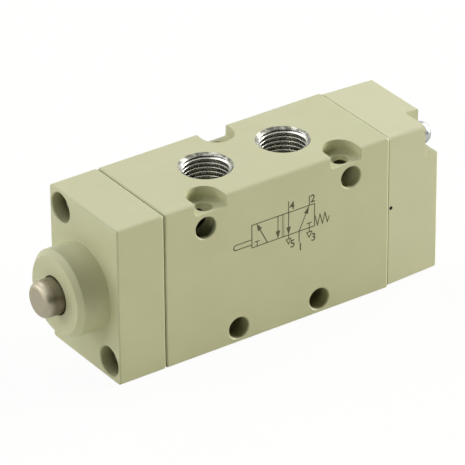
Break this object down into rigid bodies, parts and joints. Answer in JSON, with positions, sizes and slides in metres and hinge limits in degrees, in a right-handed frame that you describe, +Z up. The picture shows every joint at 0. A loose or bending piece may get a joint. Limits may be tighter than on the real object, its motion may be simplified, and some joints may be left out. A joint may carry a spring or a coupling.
{
  "type": "plunger air valve",
  "caption": "Five-port two-position spool valve block pushed by a round plunger and returned by a spring, with threaded ports on top and base.",
  "frame": {"origin": "centre of port 1's mouth on the base face, below the middle of the block", "axes": "+X along the spool towards the spring cap, -Y out of the front face, +Z up out of ports 4 and 2"},
  "size_m": [0.082, 0.022, 0.032],
  "materials": {
    "painted_body": "pale grey-beige paint on a light-alloy block, satin",
    "painted_head": "pale grey-beige paint on a light-alloy block, satin",
    "moulded_cap": "moulded cap in the body's colour, satin",
    "plunger_steel": "turned stainless steel, satin",
    "spool_alloy": "ground and anodised",
    "seat_steel": "turned",
    "spring_steel": "drawn wire",
    "zinc_screw": "bright zinc plate",
    "seal_rubber": "nitrile rubber",
    "bush_bronze": "sintered bronze",
    "spacer_plastic": "acetal"
  },
  "bodies": {
    "valve": {"valve_body": "painted_body", "plunger_head": "painted_head", "spring_cap": "moulded_cap", "head_screws": "zinc_screw", "cap_screws": "zinc_screw", "plunger_wiper": "seal_rubber", "guide_bush": "bush_bronze", "head_gasket": "seal_rubber", "seal_1": "seal_rubber", "seal_2": "seal_rubber", "seal_3": "seal_rubber", "seal_4": "seal_rubber", "seal_5": "seal_rubber", "seal_6": "seal_rubber", "spacer_1": "spacer_plastic", "spacer_2": "spacer_plastic", "spacer_3": "spacer_plastic", "spacer_4": "spacer_plastic", "spacer_5": "spacer_plastic"},
    "plunger": {"plunger": "plunger_steel"},
    "spool": {"spool": "spool_alloy", "spring_seat": "seat_steel", "return_spring": "spring_steel"}
  },
  "joints": [
    {"name": "plunger_travel", "type": "slide", "parent": "valve", "child": "plunger", "axis": [1, 0, 0], "range_m": [0, 0.003], "stiffness_N_per_m": 2000, "springref_m": -0.006},
    {"name": "spool_travel", "type": "slide", "parent": "valve", "child": "spool", "axis": [1, 0, 0], "range_m": [0, 0.003], "deforming": ["return_spring"]}
  ],
  "couplings": [
    {"joint": "spool_travel", "follows": "plunger_travel", "ratio": 1}
  ]
}
